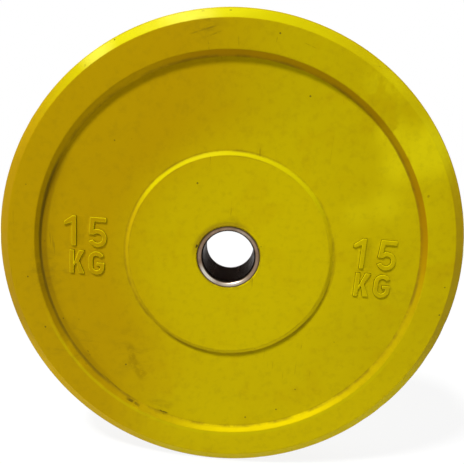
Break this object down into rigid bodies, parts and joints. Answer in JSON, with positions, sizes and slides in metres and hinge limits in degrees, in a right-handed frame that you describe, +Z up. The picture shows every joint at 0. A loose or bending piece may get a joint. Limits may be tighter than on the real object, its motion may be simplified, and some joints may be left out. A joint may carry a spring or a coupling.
{
  "type": "bumper plate",
  "caption": "Solid-rubber weight plate with raised rims, recessed webs and a steel-lined bore for an Olympic barbell sleeve, made to be dropped.",
  "frame": {"origin": "middle of the bore, half way through the plate", "axes": "+Z up with the plate standing on its tread, bore along Y, front face towards -Y, marks level and upright on both faces"},
  "size_m": [0.45, 0.06, 0.45],
  "materials": {
    "yellow_rubber": "moulded matte, lightly scuffed",
    "stainless_steel": "turned, with polished mouths",
    "mild_steel": "grit-blasted mill steel, coated with bonding agent",
    "weld_metal": "as welded"
  },
  "bodies": {
    "root": {"rubber_body": "yellow_rubber", "bore_sleeve": "stainless_steel", "anchor_disc": "mild_steel", "weld_front": "weld_metal", "weld_back": "weld_metal"}
  },
  "joints": []
}
